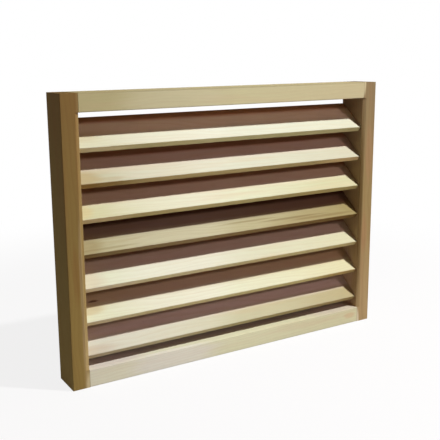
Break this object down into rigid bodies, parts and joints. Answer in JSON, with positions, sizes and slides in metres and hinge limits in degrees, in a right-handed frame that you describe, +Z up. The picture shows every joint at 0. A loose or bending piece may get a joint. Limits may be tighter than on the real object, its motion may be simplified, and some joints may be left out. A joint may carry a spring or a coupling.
{
  "type": "louvred vent",
  "caption": "Rectangular timber vent: a flat frame with fixed sloping blades that let air through and shed rain.",
  "frame": {"origin": "middle of the footprint, on the underside of the bottom rail", "axes": "+X across the width, -Y towards the front (weather side), +Z up"},
  "size_m": [0.4064, 0.0382, 0.3048],
  "materials": {
    "left_stile": "bare darker softwood",
    "right_stile": "bare darker softwood",
    "top_rail": "bare sawn and sanded softwood",
    "bottom_rail": "bare sawn and sanded softwood",
    "blade_1": "bare sawn and sanded softwood",
    "blade_2": "bare sawn and sanded softwood",
    "blade_3": "bare sawn and sanded softwood",
    "blade_4": "bare sawn and sanded softwood",
    "blade_5": "bare sawn and sanded softwood",
    "blade_6": "bare sawn and sanded softwood",
    "blade_7": "bare sawn and sanded softwood"
  },
  "bodies": {
    "root": {"left_stile": "left_stile", "right_stile": "right_stile", "top_rail": "top_rail", "bottom_rail": "bottom_rail", "blade_1": "blade_1", "blade_2": "blade_2", "blade_3": "blade_3", "blade_4": "blade_4", "blade_5": "blade_5", "blade_6": "blade_6", "blade_7": "blade_7"}
  },
  "joints": []
}
